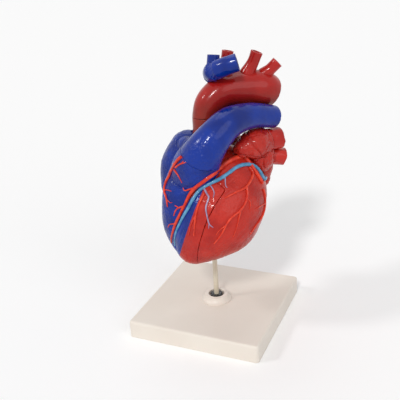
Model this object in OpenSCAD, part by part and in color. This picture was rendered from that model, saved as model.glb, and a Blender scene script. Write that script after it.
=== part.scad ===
// Human heart anatomy model on a square stand, about twice life size.
// The stand's frame: origin at the centre of the base's underside, +Z up, base square to X and Y.
// The heart's own frame: x to the heart's left, y to its back, z up from the seat; it is turned on the rod.

/* [Stand] */
// Side of the square base
base_side = 170; // [160:1:220]
// Thickness of the base
base_thickness = 22.5; // [18:0.5:32]
// Rounding of the base's upright corners
base_corner_r = 4; // [2:0.5:12]
// Rounding of the base's top edge
base_edge_r = 3; // [1:0.5:5]
// Diameter of the collar where it stands on the base
collar_foot_d = 39; // [34:0.5:50]
// Diameter of the collar's rim
collar_rim_d = 31; // [26:0.5:33]
// Height of the collar above the base
collar_height = 8; // [6:0.5:14]
// Diameter of the recess in the collar
recess_d = 20; // [18:0.5:24]
// Depth of the recess in the collar
recess_depth = 5; // [4:0.5:5.5]

/* [Rod] */
// Diameter of the rod
rod_d = 6.4; // [5:0.1:8]
// Free height of the rod, from the base's top to the heart's datum
rod_free = 77.5; // [60:0.5:110]
// Length of the rod inside the heart's socket
socket_depth = 23; // [15:0.5:26]
// Wall of the socket that is set in the heart
socket_wall = 2.8; // [2:0.1:3.5]
// Radial running clearance of the rod in the base and in the socket
rod_fit = 0.05; // [0.02:0.01:0.1]
// Diameter of the toothed nut in the collar
tooth_nut_d = 16; // [13:0.5:17]
// Height of the toothed nut
tooth_nut_h = 4; // [3:0.5:5]
// Number of teeth of the toothed nut
tooth_count = 12; // [8:1:18]
// Width across the flats of the nut under the base
end_nut_flats = 11; // [10:0.5:13]
// Height of the nut under the base
end_nut_h = 4.5; // [3:0.5:6]
// Diameter of the washer under the base
washer_d = 20; // [16:0.5:24]
// Thickness of the washer under the base
washer_t = 1.4; // [1:0.1:2]

/* [Heart walls] */
// Turn of the heart on its rod, in degrees
heart_turn = 30; // [0:1:90]
// Wall of the left ventricle
left_wall = 9; // [6:0.5:12]
// Wall of the right ventricle
right_wall = 4.5; // [3.5:0.5:6]
// Wall of both atria
atrium_wall = 3.2; // [2.6:0.2:4]
// Wall of the aorta and the pulmonary arteries
artery_wall = 2.6; // [2:0.1:3.4]
// Wall of the veins and of the arch's branches
vein_wall = 2; // [1.4:0.1:2.6]
// Leaflet thickness of the valves
leaflet = 1.4; // [1:0.1:2]
// Gap between pieces that come apart
seam_gap = 0.3; // [0.2:0.05:0.5]

/* [Coronary vessels] */
// Radius of the left anterior descending artery
descending_r = 2.3; // [1.6:0.1:3]
// Radius of the great cardiac vein
cardiac_vein_r = 2.1; // [1.5:0.1:3]
// Radius of the right coronary artery
right_coronary_r = 1.7; // [1.2:0.1:2.4]
// Radius of the smaller branches
branch_r = 1.5; // [1:0.1:2]

/* [Magnets] */
// Diameter of the magnets that hold the loose walls
magnet_d = 4; // [3:0.5:5]
// Thickness of each magnet
magnet_t = 2.5; // [2:0.5:4]
// Plastic left round a magnet
magnet_boss = 2; // [1.5:0.25:3]

/* [Hidden] */

red = [0.72, 0.12, 0.1];
blue = [0.07, 0.18, 0.6];
cream = [0.9, 0.87, 0.78];
steel = [0.45, 0.45, 0.47];
sky = [0.45, 0.68, 0.85];
scarlet = [0.85, 0.25, 0.12];

rod_r = rod_d / 2;
heart_z = base_thickness + rod_free;
slit = 0.2;               // running gap between flat faces that turn on each other
half_gap = seam_gap / 2;
clear = seam_gap + 0.1;   // between curved faces that slide past each other
wall_way = 1.6;           // kept free of vessels beside the left atrium's wall, which slides over them
cover_way = 12;           // the way the right atrium's wall is kept clear of the cavae as it slides off
vessel_lift = 0.4;        // a coronary vessel's middle lies this far, and half its radius, off the wall
cord_r = 0.6;
counterbore_d = washer_d + 3;
counterbore_depth = washer_t + end_nut_h + 3;
rod_foot_z = counterbore_depth - washer_t - slit - end_nut_h - 1;
socket_low = 8;           // the socket's mouth above the heart's datum
socket_r = rod_r + rod_fit + socket_wall;
socket_top = socket_low + socket_depth + 3;
rod_top = heart_z + socket_low + socket_depth;

// Routes of round sections, [x, y, z, radius], through the middle of each hollow form
left_ventricle_route = [[14, 11, 89, 43], [18, 9, 75, 49], [20, -1, 64, 53], [22, -9, 56, 53],
    [21, -22, 43, 42.5], [20, -34, 30, 30.5], [19, -42, 22, 22.5]];
right_ventricle_route = [[0, -45, 9, 9], [-5, -45, 24, 15], [0, -46, 45, 22.5], [3, -42, 64, 27.5],
    [2, -34, 83, 30.5], [5, -28, 101, 29.5], [18, -30, 121, 27.5], [29, -28, 138, 23],
    [35, -15, 155, 19.5], [36, 5, 166, 17.8]];
pulmonary_route = [[2, -34, 83, 30.5], [5, -28, 101, 29.5], [18, -30, 121, 27.5],
    [29, -28, 138, 23], [35, -15, 155, 19.5], [36, 5, 166, 17.8], [36, 37, 167, 14.8], [36, 71, 158.5, 13.4]];
right_pulmonary_route = [[30, 8, 160, 13], [16, 30, 156, 12], [-2, 45, 154, 11.5], [-20, 52, 154, 11],
    [-36, 53, 153, 11]];
aorta_route = [[-10, 0, 108, 14], [-9, 1, 124, 14.5], [-8, 2, 139, 15], [-8, 4, 153, 15.7],
    [-9, 6, 167, 16.2], [-8, 13, 181, 17.5], [-3, 30, 191, 19.3], [5, 53, 191, 21],
    [13, 73, 188, 21.7], [15, 86, 182, 18.8]];
trunk_route = [[-9, 31, 196, 8.5], [-9, 32, 207, 7.4], [-7, 37, 222, 6.9], [-6, 40, 236, 6.9]];
carotid_route = [[7, 52, 196, 13], [8, 55, 207, 9.5], [12, 62, 221, 7], [15, 66, 233, 7.3]];
subclavian_route = [[13, 70, 194, 13], [16, 74, 204, 9], [21, 81, 211, 7], [26, 88, 219, 7]];
right_atrium_route = [[-23, -13, 126, 22.5], [-30, -21, 105, 24], [-31, -26, 82, 21]];
right_auricle_route = [[-24, -17, 126, 15], [-12, -23, 136, 10.5], [-3, -26, 139, 7]];
left_atrium_route = [[-8, 50, 110, 20], [14, 55, 107, 24], [32, 50, 114, 19]];
left_atrium_foot_route = [[15, 58, 103, 22], [17, 63, 90, 18], [19, 65, 78, 11]];
left_auricle_route = [[34, 50, 131.5, 17.5], [39, 36, 134, 16], [41, 26, 134, 13.5], [41, 18, 133, 9.5]];
upper_vein_route = [[25, 46, 129.5, 13.6], [34, 60, 132, 13.4], [38, 79, 131, 12.4]];
lower_vein_route = [[22, 50, 112, 10.5], [26, 61, 111, 10.9], [37, 86, 105, 10.8]];
right_upper_vein_route = [[-8, 50, 118, 9], [-22, 60, 119, 8.5], [-34, 65, 120, 8.5]];
right_lower_vein_route = [[-6, 52, 101, 8.5], [-20, 64, 98, 8], [-32, 69, 96, 8]];
superior_cava_route = [[-30, -4, 124, 11.5], [-33, 16, 138, 11], [-33, 26, 152, 11],
    [-33, 33, 166, 10.9], [-32, 38, 179, 10.6], [-30, 39.5, 191, 10.3], [-24, 32, 203, 9.6],
    [-14, 21, 210.5, 10.3], [-2, 14, 217, 11], [8, 16, 221, 11], [17, 21, 225, 10.4], [24, 29, 228, 10.2]];
right_brachial_vein_route = [[-14, 19, 207, 9], [-9, 18, 214, 8.5], [-8, 19, 223, 7.6], [-9, 21, 234, 7.2]];
inferior_cava_route = [[-33, -6, 98, 11], [-42, 6, 80, 11], [-46, 9, 62, 11]];

// Planes between the pieces that come apart: a point on the plane and its normal
valve_plane = [[26, -29, 133], [0.5, 0.05, 0.86]];
crown_plane = [[0, 0, 165], [0, 0, 1]];
front_plane = [[50, -22, 80], [-0.31, 0.95, 0]];
strip_plane = [[50, -34, 70], [0.89, 0.33, -0.32]];
septum_plane = [[19, 0, 66.7], [1, 0, -0.45]];
right_plane = [[-37, 0, 0], [-1, 0, 0]];
left_plane = [[9, 0, 0], [1, 0, 0]];

// Smooth curve through a route's rows, with n steps between rows
function catmull(a, b, c, d, t) = 0.5 * (2 * b + (c - a) * t + (2 * a - 5 * b + 4 * c - d) * t * t
    + (3 * b - a - 3 * c + d) * t * t * t);
function row(route, i) = route[min(max(i, 0), len(route) - 1)];
function between(route, i, t) = catmull(row(route, i - 1), row(route, i), row(route, i + 1),
    row(route, i + 2), t);
function smooth(route, n) = [for (i = [0:len(route) - 2], k = [0:n - 1]) between(route, i, k / n),
    route[len(route) - 1]];
function place(p) = [p.x, p.y, p.z];
function unit(v) = v / norm(v);
function reversed(list) = [for (i = [len(list) - 1:-1:0]) list[i]];
function heading(rings, i) = unit(place(row(rings, i + 1)) - place(row(rings, i - 1)));
function span(route) = unit(place(route[len(route) - 1]) - place(route[0]));
function side_of(route) = abs(span(route).x) < 0.7 ? [1, 0, 0] : [0, 0, 1];
function grown(rings, by) = [for (p = rings) [p.x, p.y, p.z, max(p[3] + by, 0.2)]];
// Rows that round off the end of a form, or run it on straight by a length
function dome(p, dir, angles) = [for (a = angles) [each (place(p) + dir * p[3] * sin(a)), p[3] * cos(a)]];
function onward(p, dir, length) = [each (place(p) + dir * length), p[3]];
function circle_points(p, dir, side, sides) = let (u = unit(cross(dir, side)), v = cross(dir, u))
    [for (k = [0:sides - 1]) place(p) + p[3] * (cos(360 * k / sides) * u + sin(360 * k / sides) * v)];
// A form of round sections along a route; each end is domed, run on by a length, or cut square.
// Its skin is one closed surface; the spans of its core keep it solid where the skin folds in a tight bend.
module limb(route, grow = 0, n = 2, sides = 26, round_start = false, round_end = false, run_on = 0,
    dome_turns = [30, 58, 82]) {
    body = grown(smooth(route, n), grow);
    last = len(body) - 1;
    head = heading(body, 0);
    tail = heading(body, last);
    rings = concat(
        round_start ? [each dome(body[0], -head, reversed(dome_turns)), body[0]]
            : [onward(body[0], -head, run_on)],
        [for (i = [1:1:last - 1]) body[i]],
        round_end ? [body[last], each dome(body[last], tail, dome_turns)]
            : [onward(body[last], tail, run_on)]);
    count = len(rings);
    side = side_of(route);
    polyhedron(
        points = [for (i = [0:count - 1]) each circle_points(rings[i], heading(rings, i), side, sides)],
        faces = concat(
            [[for (k = [0:sides - 1]) k]],
            [for (i = [0:count - 2], k = [0:sides - 1])
                let (m = (k + 1) % sides, a = i * sides, b = a + sides)
                    each [[a + k, b + k, b + m], [a + k, b + m, a + m]]],
            [[for (k = [0:sides - 1]) count * sides - 1 - k]]));
    for (i = [1:1:count - 3])
        hull() for (p = [rings[i], rings[i + 1]]) translate(place(p)) cube(p[3] * 0.5, center = true);
}

// A pipe: a limb with a bore that is open at both ends
module pipe(route, wall, n = 2, sides = 20, bore_sides = 14) {
    difference() {
        limb(route, n = n, sides = sides);
        limb(route, grow = -wall, n = n, sides = bore_sides, run_on = 3);
    }
}

// Everything on the far side of a plane, from a gap beyond it
module beyond(plane, gap = 0) {
    reach = 400;
    dir = unit(plane[1]);
    translate(plane[0] + dir * gap)
        rotate([0, acos(dir.z), atan2(dir.y, dir.x)])
            translate([-reach / 2, -reach / 2, 0]) cube(reach);
}
module before(plane, gap = 0) beyond([plane[0], -plane[1]], gap);

heart_middle = [14, -14, 66];   // vessels rise from the walls away from here
module in_heart() translate([0, 0, heart_z]) rotate([0, 0, -heart_turn]) children();

// Outer and inner forms of the chambers
module left_ventricle_form(grow = 0) hull() for (p = left_ventricle_route)
    translate(place(p)) sphere(r = p[3] + grow, $fn = grow < -1 ? 14 : 22);
module right_ventricle_bore() limb(right_ventricle_route, -right_wall, sides = 16, round_start = true);
module septum_side() difference() {
    cube(500, center = true);
    left_ventricle_form();
}
module right_ventricle_form(grow = 0) limb(right_ventricle_route, grow, sides = 24, round_start = true);
module right_atrium_form(grow = 0) {
    sides = grow < -1 ? 12 : 20;
    turns = grow < -1 ? [50] : [32, 64];
    limb(right_atrium_route, grow, sides = sides, round_start = true, round_end = true, dome_turns = turns);
    limb(right_auricle_route, grow, n = 1, sides = sides - 4, round_end = true, dome_turns = [50]);
}
module left_atrium_form(grow = 0) {
    sides = grow < -1 ? 12 : 18;
    turns = grow < -1 ? [50] : [32, 64];
    limb(left_atrium_route, grow, sides = sides, round_start = true, round_end = true, dome_turns = turns);
    limb(left_atrium_foot_route, grow, n = 1, sides = sides - 4, round_end = true, dome_turns = [50]);
}
module left_auricle_form(grow = 0) limb(left_auricle_route, grow, n = 1, sides = grow < -1 ? 9 : 14,
    round_start = true, round_end = true, dome_turns = [50]);
module aorta_form(grow = 0) limb(aorta_route, grow, sides = 18);
module pulmonary_form(grow = 0) limb(pulmonary_route, grow, sides = 24);

// Channels that join the chambers
aortic_channel = [[4, -4, 84, 10], [-4, -2, 98, 11], [-10, 0, 112, 10.5]];
mitral_channel = [[14, 24, 92, 10], [14, 44, 101, 13], [14, 58, 106, 14]];
tricuspid_channel = [[-14, -46.5, 79, 8], [-22, -40, 87, 9.5], [-31, -33, 94, 10]];
// Leaflets of the valves, from their rings to their free edges
mitral_leaflets = [[14, 49, 102.5, 14], [14, 42, 99.5, 11.4], [14, 31, 95, 8]];
tricuspid_leaflets = [[-25, -37, 88.5, 11.5], [-20, -41.5, 84.5, 8], [-14, -46.5, 80, 5]];
aortic_leaflets = [[-9, 1, 125, 13], [-8.7, 1.3, 130, 10.6], [-8.4, 1.6, 136, 7]];
pulmonary_leaflets = [[27, -29, 133.5, 23], [29, -27, 140, 18.5], [31, -23, 146, 12]];
// Papillary muscles, from their foot on the wall to their tip
left_muscles = [[[46, -6, 14, 8.5], [38, -2, 34, 6.5], [28, 8, 54, 4]],
    [[0, 30, 26, 8.5], [6, 23, 46, 6.5], [12, 21, 62, 4]]];
right_muscles = [[[-13, -50, 30, 5.5], [-9, -56, 44, 4.5], [-5, -58.5, 58, 3.2]]];
module left_channels() {
    limb(aortic_channel, n = 1, sides = 14);
    limb(aorta_route, -artery_wall, sides = 12);
    limb(mitral_channel, n = 1, sides = 14);
}

module left_ventricle_wall() {
    difference() {
        left_ventricle_form();
        left_ventricle_form(-left_wall);
        left_channels();
    }
}
module right_ventricle_wall() {
    difference() {
        right_ventricle_form();
        right_ventricle_bore();
        limb(tricuspid_channel, n = 1, sides = 14);
    }
}

// What the front wall takes off: in front of its back seam, inside its strip and below the pulmonary valve
module front_zone(gap = 0) {
    intersection() {
        before(front_plane, gap);
        before(strip_plane, gap);
        before(valve_plane, gap < 0 ? 2 * gap : gap);
    }
}
// The septum stays with the core; what slides off in front of it keeps clear
module septum_clearance() intersection() {
    left_ventricle_form(clear);
    before(septum_plane, half_gap);
}

// Magnets: a point on the seam and the seam's plane
front_spots = [[[53.7, -26.5, 88], strip_plane], [[51.5, -45.8, 62], strip_plane],
    [[44.6, -50.5, 38], strip_plane], [[27.2, -46.8, 85], septum_plane], [[11.5, -57.3, 50], septum_plane]];
right_spots = [[[-37, -37, 106], right_plane], [[-37, -27, 68], right_plane]];
left_spots = [[[9, 55, 124], left_plane], [[9, 73, 107], left_plane]];
module at_spot(spot) {
    dir = unit(spot[1][1]);
    off = (spot[0] - spot[1][0]) * dir;
    translate(spot[0] - off * dir) rotate([0, acos(dir.z), atan2(dir.y, dir.x)]) children();
}
module magnet_pair(spots, far) for (spot = spots) at_spot(spot)
    translate([0, 0, far ? half_gap : -half_gap - magnet_t]) cylinder(d = magnet_d, h = magnet_t, $fn = 32);
module magnet_pockets(spots) for (spot = spots) at_spot(spot)
    cylinder(d = magnet_d + 0.4, h = seam_gap + 2 * magnet_t + 0.2, center = true, $fn = 10);
module magnet_bosses(spots) for (spot = spots) at_spot(spot)
    cylinder(d = magnet_d + 2 * magnet_boss, h = 2 * (magnet_t + magnet_boss), center = true, $fn = 10);

// Coronary vessels lie half sunk on the walls; each row of a route is [x, y, z, size]
descending_routes = [
    [[38, -11, 118, 1.3], [44, -31, 114, 1.2], [37, -42, 105, 1.1], [28, -49, 93, 1], [25, -56, 80, 0.9],
        [20, -62, 66, 0.8], [13, -66, 49, 0.65], [-4, -60, 23, 0.4]],
    [[33, -45, 101, 0.8], [22, -53, 96, 0.4]],
    [[25, -56, 79, 0.7], [20, -61, 77, 0.6], [15, -65, 67, 0.4]]];
left_coronary_routes = [
    [[34, 26, 124, 1], [39, 20, 122, 1.2], [40, 5, 123, 1.3], [38, -11, 118, 1.3], [44, -31, 114, 1.2]],
    [[39, 20, 122, 1], [53, 26, 106, 0.9], [58, 30, 92, 0.8]]];
cardiac_vein_routes = [
    [[52, 38, 93, 0.9], [52, 37, 97, 1], [48, 34, 105, 1], [47, 24, 113, 1.1], [47, 6, 116, 1.1],
        [47, -8, 112, 1.1], [45, -20, 107, 1.1], [41, -29, 104, 1.1], [35, -39, 98, 1.1], [33, -48, 89, 1],
        [31, -56, 77, 0.9], [24, -61, 63, 0.8], [16, -64, 48, 0.7], [0, -58, 20, 0.45]],
    [[37, -37, 99, 0.7], [48, -39, 91, 0.6], [50, -45, 82, 0.5], [52, -47, 74, 0.4]]];
marginal_routes = [
    [[50, 20, 111, 1.2], [55, 20, 105, 1.2], [62, 4, 96, 1.1], [62, -10, 94, 1], [59, -25, 90, 0.7]],
    [[62, 4, 96, 1.1], [68, -1, 85, 1], [71, -12, 76, 1], [69, -28, 68, 0.9], [66, -38, 52, 0.8],
        [59, -43, 40, 0.5]],
    [[71, -13, 76, 0.9], [73, -19, 64, 0.8], [71, -25, 47, 0.5]],
    [[60, 30, 84, 1], [61, 32, 67, 0.9], [66, 24, 56, 0.9], [71, 8, 50, 0.8], [72, -1, 42, 0.5]]];
diagonal_routes = [[[41, -40, 94, 1], [42, -50, 83, 0.9], [43, -56, 68, 0.8], [42, -58, 49, 0.6]]];
right_coronary_routes = [
    [[27, -49, 142, 1.2], [22, -53, 137, 1.2], [15, -55, 130, 1.2], [8, -56, 122, 1.1], [-1, -56, 112, 1.1],
        [-6, -59, 101, 1], [-6, -62, 91, 0.9], [2, -65, 85, 0.8], [6, -67, 76, 0.5]],
    [[14, -57, 123, 0.9], [22, -55, 129, 0.7], [30, -53, 130, 0.4]],
    [[11, -57, 119, 0.9], [21, -55, 106, 0.4]]];
posterior_routes = [
    [[-32, -8, 68, 1], [-32, 8, 66, 1.1], [-28, 23, 70, 1.1], [-17, 42, 75, 1.1], [-11, 48, 66, 1],
        [-11, 42, 52, 0.9], [-8, 33, 37, 0.8], [-2, 18, 18, 0.5]]];
sinus_routes = [
    [[50, 42, 91, 1.1], [34, 53, 85, 1.4], [12, 57, 76, 1.8], [-6, 52, 72, 1.9],
        [-24, 36, 72, 1.9], [-36, 22, 78, 1.8]],
    [[12, 57, 76, 1.2], [6, 54, 60, 1], [8, 46, 44, 0.8], [9, 40, 35, 0.5]]];
module tubes(routes, r) for (route = routes)
    limb([for (p = route) let (out = unit(place(p) - heart_middle))
            [each (place(p) + (vessel_lift + r * p[3] / 2) * out), r * p[3]]],
        n = 1, sides = 6, round_start = true, round_end = true, dome_turns = [48]);
module vessels(routes, r) difference() {
    tubes(routes, r);
    left_ventricle_form();
    right_ventricle_form();
}

// Stand
module base_plate() color(cream) difference() {
    hull() for (x = [-1, 1], y = [-1, 1])
        translate([x, y, 0] * (base_side / 2 - base_corner_r)) rotate_extrude($fn = 32)
            polygon(concat([[0, 0], [base_corner_r, 0]],
                [for (a = [0:22.5:90]) [base_corner_r - min(base_edge_r, base_corner_r) * (1 - cos(a)),
                    base_thickness - base_edge_r * (1 - sin(a))]],
                [[0, base_thickness]]));
    translate([0, 0, -1]) cylinder(r = rod_r + rod_fit, h = base_thickness + 2, $fn = 48);
    translate([0, 0, -1]) cylinder(d = counterbore_d, h = counterbore_depth + 1, $fn = 64);
}
module rod_collar() color(cream) translate([0, 0, base_thickness]) rotate_extrude($fn = 72)
    polygon([[rod_r + rod_fit, 0], [collar_foot_d / 2, 0], [collar_foot_d / 2, collar_height * 0.2],
        [collar_rim_d / 2 + 1.2, collar_height * 0.45], [collar_rim_d / 2, collar_height * 0.8],
        [collar_rim_d / 2 - 1.5, collar_height], [recess_d / 2, collar_height],
        [recess_d / 2, collar_height - recess_depth], [rod_r + rod_fit, collar_height - recess_depth]]);
module base_washer() color(steel) translate([0, 0, counterbore_depth - washer_t]) difference() {
    cylinder(d = washer_d, h = washer_t, $fn = 48);
    translate([0, 0, -1]) cylinder(r = rod_r + 0.3, h = washer_t + 2, $fn = 48);
}

// Rod
module support_rod() color(cream) translate([0, 0, rod_foot_z])
    cylinder(r = rod_r, h = rod_top - rod_foot_z, $fn = 48);
module toothed_nut() color(steel)
    translate([0, 0, base_thickness + collar_height - recess_depth + slit]) difference() {
        cylinder(d = tooth_nut_d, h = tooth_nut_h, $fn = 48);
        translate([0, 0, -1]) cylinder(r = rod_r, h = tooth_nut_h + 2, $fn = 48);
        for (k = [1:tooth_count]) rotate(360 * k / tooth_count)
            translate([tooth_nut_d / 2, 0, tooth_nut_h / 2])
                cube([tooth_nut_d / 5, tooth_nut_d / 9, tooth_nut_h * 2], center = true);
    }
module rod_end_nut() color(steel) translate([0, 0, rod_foot_z + 1]) difference() {
    cylinder(d = end_nut_flats / cos(30), h = end_nut_h, $fn = 6);
    translate([0, 0, -1]) cylinder(r = rod_r, h = end_nut_h + 2, $fn = 48);
}

// Heart, core
module rod_socket() color(steel) in_heart() difference() {
    translate([0, 0, socket_low]) cylinder(r = socket_r, h = socket_top - socket_low, $fn = 48);
    translate([0, 0, socket_low - 1]) cylinder(r = rod_r + rod_fit, h = socket_depth + 1, $fn = 48);
}
module left_ventricle() color(red) in_heart() difference() {
    union() {
        left_ventricle_wall();
        intersection() {
            left_ventricle_form();
            cylinder(r = socket_r + 3.5, h = socket_top, $fn = 32);
        }
    }
    cylinder(r = socket_r + 0.15, h = socket_top + 0.1, $fn = 48);
    intersection() {
        front_zone(-half_gap);
        beyond(septum_plane, -half_gap);
    }
    magnet_pockets(front_spots);
}
module right_ventricle() color(blue) in_heart() difference() {
    right_ventricle_wall();
    front_zone(-half_gap);
    beyond(valve_plane, half_gap);
    left_ventricle_form();
    aorta_form();
}
module valve(route, sides, cusps) {
    difference() {
        limb(route, n = 1, sides = sides);
        limb(route, grow = -leaflet, n = 1, sides = sides, run_on = 1);
        last = len(route) - 1;
        dir = heading(route, last);
        for (k = [1:cusps]) translate(place(route[last])) rotate([0, acos(dir.z), atan2(dir.y, dir.x)])
            rotate(360 * k / cusps) translate([0, -0.4, -4]) cube([20, 0.8, 8]);
    }
}
module mitral_valve() color(cream) in_heart() intersection() {
    valve(mitral_leaflets, 14, 2);
    limb(mitral_channel, n = 1, sides = 14);
}
module tricuspid_valve() color(cream) in_heart() intersection() {
    valve(tricuspid_leaflets, 15, 3);
    limb(tricuspid_channel, n = 1, sides = 14);
    septum_side();
}
module aortic_valve() color(cream) in_heart() intersection() {
    valve(aortic_leaflets, 15, 3);
    limb(aorta_route, -artery_wall, sides = 12);
}
module pulmonary_valve() color(cream) in_heart() intersection() {
    valve(pulmonary_leaflets, 16, 3);
    limb(pulmonary_route, -artery_wall, sides = 14);
    beyond(valve_plane, half_gap);
}

module left_papillary_muscles() color(red) in_heart() intersection() {
    for (m = left_muscles) limb(m, sides = 10, round_end = true);
    left_ventricle_form(-left_wall);
}
module right_papillary_muscles() color(red) in_heart() intersection() {
    for (m = right_muscles) limb(m, sides = 10, round_end = true);
    limb(right_ventricle_route, -right_wall - 1, sides = 16, round_start = true);
    septum_side();
}
// Cords fan out from a muscle's tip to the rim of its valve
module rod_between(a, b, r) {
    dir = unit(b - a);
    translate(a) rotate([0, acos(dir.z), atan2(dir.y, dir.x)]) cylinder(r = r, h = norm(b - a), $fn = 6);
}
module cords(tip, rim, r, dir, spread) for (k = [-1:2:1], j = [-1:2:1])
    rod_between(tip + [k, j, 0], rim + spread * [k, 0, 0] + dir * j, r);
module left_tendinous_cords() color(cream) in_heart() {
    cords([28, 8, 56.5], [17, 31.5, 91.5], cord_r, [0, 1.4, -1], 1.6);
    cords([12, 21, 64.5], [11, 31.5, 91.5], cord_r, [0, 1.4, -1], 1.6);
}
module right_tendinous_cords() color(cream) in_heart() for (m = [-1, 1])
    cords([-5, -58.5, 60.5], [-14 + 2.5 * m, -47, 80], cord_r - 0.1, [0, 1, 0.6], 1);

module aortic_root() color(red) in_heart() difference() {
    intersection() {
        pipe(aorta_route, artery_wall, sides = 18, bore_sides = 12);
        before(crown_plane, half_gap);
    }
    left_ventricle_form();
}
module pulmonary_trunk() color(blue) in_heart() difference() {
    intersection() {
        pipe(pulmonary_route, artery_wall, sides = 24);
        beyond(valve_plane, half_gap);
    }
    limb(right_pulmonary_route, -artery_wall, n = 1, sides = 14, run_on = 4);
    left_ventricle_form();
    aorta_form(clear);
}
module right_pulmonary_artery() color(blue) in_heart() difference() {
    pipe(right_pulmonary_route, artery_wall, n = 1, sides = 18);
    pulmonary_form();
    aorta_form(clear);
}
module right_atrium_shell(gap) difference() {
    union() {
        difference() {
            right_atrium_form();
            right_atrium_form(-atrium_wall);
        }
        intersection() {
            right_atrium_form();
            magnet_bosses(right_spots);
        }
    }
    for (route = [superior_cava_route, inferior_cava_route])
        limb(route, -vein_wall, n = 1, sides = 16, run_on = 6);
    limb(tricuspid_channel, n = 1, sides = 14);
    magnet_pockets(right_spots);
    right_ventricle_form(clear);
    left_ventricle_form(gap);
    aorta_form();
}
module right_atrium() color(blue) in_heart() intersection() {
    right_atrium_shell(0);
    before(right_plane, half_gap);
}
module left_atrium_shell(gap) difference() {
    union() {
        difference() {
            union() {
                left_atrium_form();
                left_auricle_form();
            }
            left_atrium_form(-atrium_wall);
            left_auricle_form(-atrium_wall);
        }
        intersection() {
            left_atrium_form();
            magnet_bosses(left_spots);
        }
    }
    for (route = [upper_vein_route, lower_vein_route, right_upper_vein_route, right_lower_vein_route])
        limb(route, -vein_wall, n = 1, sides = 14, run_on = 4);
    limb(mitral_channel, n = 1, sides = 14);
    magnet_pockets(left_spots);
    left_ventricle_form(gap);
}
module left_atrium() color(red) in_heart() intersection() {
    left_atrium_shell(0);
    before(left_plane, half_gap);
}
module right_pulmonary_veins() color(red) in_heart() difference() {
    union() {
        pipe(right_upper_vein_route, vein_wall, n = 1, sides = 17, bore_sides = 12);
        pipe(right_lower_vein_route, vein_wall, n = 1, sides = 17, bore_sides = 12);
    }
    left_atrium_form();
}
module superior_vena_cava() color(blue) in_heart() difference() {
    intersection() {
        pipe(superior_cava_route, vein_wall, n = 1, sides = 18);
        before(crown_plane, half_gap);
    }
    right_atrium_form();
    aorta_form();
}
module inferior_vena_cava() color(blue) in_heart() difference() {
    pipe(inferior_cava_route, vein_wall, n = 1, sides = 18);
    right_atrium_form();
    left_ventricle_form();
}
module left_coronary_artery() color(scarlet) in_heart() difference() {
    vessels(left_coronary_routes, descending_r);
    front_zone(-half_gap);
    left_atrium_form(wall_way);
    left_auricle_form(wall_way);
    pulmonary_form();
}
module cardiac_vein_stem() color(sky) in_heart() difference() {
    vessels(cardiac_vein_routes, cardiac_vein_r);
    front_zone(-half_gap);
    left_atrium_form(wall_way);
    left_auricle_form(wall_way);
    tubes(left_coronary_routes, descending_r);
}
module left_marginal_arteries() color(scarlet) in_heart() difference() {
    vessels(marginal_routes, branch_r);
    front_zone(-half_gap);
    left_atrium_form(wall_way);
}
module coronary_sinus() color(sky) in_heart() difference() {
    vessels(sinus_routes, cardiac_vein_r);
    left_atrium_form(2 * wall_way);
    tubes(left_coronary_routes, descending_r);
    tubes(cardiac_vein_routes, cardiac_vein_r);
    right_atrium_form();
    limb(inferior_cava_route, slit, n = 1, sides = 18);
}
module posterior_descending_artery() color(scarlet) in_heart() difference() {
    vessels(posterior_routes, right_coronary_r);
    right_atrium_form();
    limb(inferior_cava_route, n = 1, sides = 18);
    tubes(sinus_routes, cardiac_vein_r);
}
module seam_magnets() color(steel) in_heart() {
    magnet_pair([for (k = [0:2]) front_spots[k]], true);
    magnet_pair([for (k = [3:4]) front_spots[k]], false);
    magnet_pair(right_spots, false);
    magnet_pair(left_spots, false);
}

// Front wall
module front_wall_left() color(red) in_heart() difference() {
    intersection() {
        left_ventricle_wall();
        front_zone(half_gap);
        beyond(septum_plane, half_gap);
    }
    magnet_pockets(front_spots);
}
module front_wall_right() color(blue) in_heart() difference() {
    intersection() {
        right_ventricle_wall();
        front_zone(half_gap);
    }
    left_ventricle_form();
    septum_clearance();
    aorta_form(clear);
}
module front_wall_magnets() color(steel) in_heart() {
    magnet_pair([for (k = [0:2]) front_spots[k]], false);
    magnet_pair([for (k = [3:4]) front_spots[k]], true);
}

module front_vessels(routes, r) difference() {
    intersection() {
        vessels(routes, r);
        front_zone(half_gap);
    }
    septum_clearance();
}
module anterior_descending_artery() color(scarlet) in_heart() front_vessels(descending_routes, descending_r);
module great_cardiac_vein() color(sky) in_heart() front_vessels(cardiac_vein_routes, cardiac_vein_r);
module diagonal_artery() color(scarlet) in_heart() front_vessels(diagonal_routes, branch_r);
module right_coronary_artery() color(scarlet) in_heart()
    front_vessels(right_coronary_routes, right_coronary_r);

// Loose atrium walls
module right_atrium_wall() color(blue) in_heart() difference() {
    intersection() {
        right_atrium_shell(clear);
        beyond(right_plane, half_gap);
    }
    for (route = [superior_cava_route, inferior_cava_route])
        hull() for (x = [0, cover_way]) translate([x, 0, 0])
            limb([for (i = [0:2]) route[i]], clear, n = 1, sides = 16);
}
module right_atrium_magnets() color(steel) in_heart() magnet_pair(right_spots, true);
module left_atrium_wall() color(red) in_heart() intersection() {
    left_atrium_shell(wall_way + slit);
    beyond(left_plane, half_gap);
}
module left_superior_pulmonary_vein() color(red) in_heart() difference() {
    pipe(upper_vein_route, vein_wall, n = 1, sides = 18);
    left_atrium_form();
    left_auricle_form();
}
module left_inferior_pulmonary_vein() color(red) in_heart() difference() {
    pipe(lower_vein_route, vein_wall, n = 1, sides = 17, bore_sides = 12);
    left_atrium_form();
    limb(upper_vein_route, n = 1, sides = 18);
}
module left_atrium_magnets() color(steel) in_heart() magnet_pair(left_spots, true);

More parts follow.
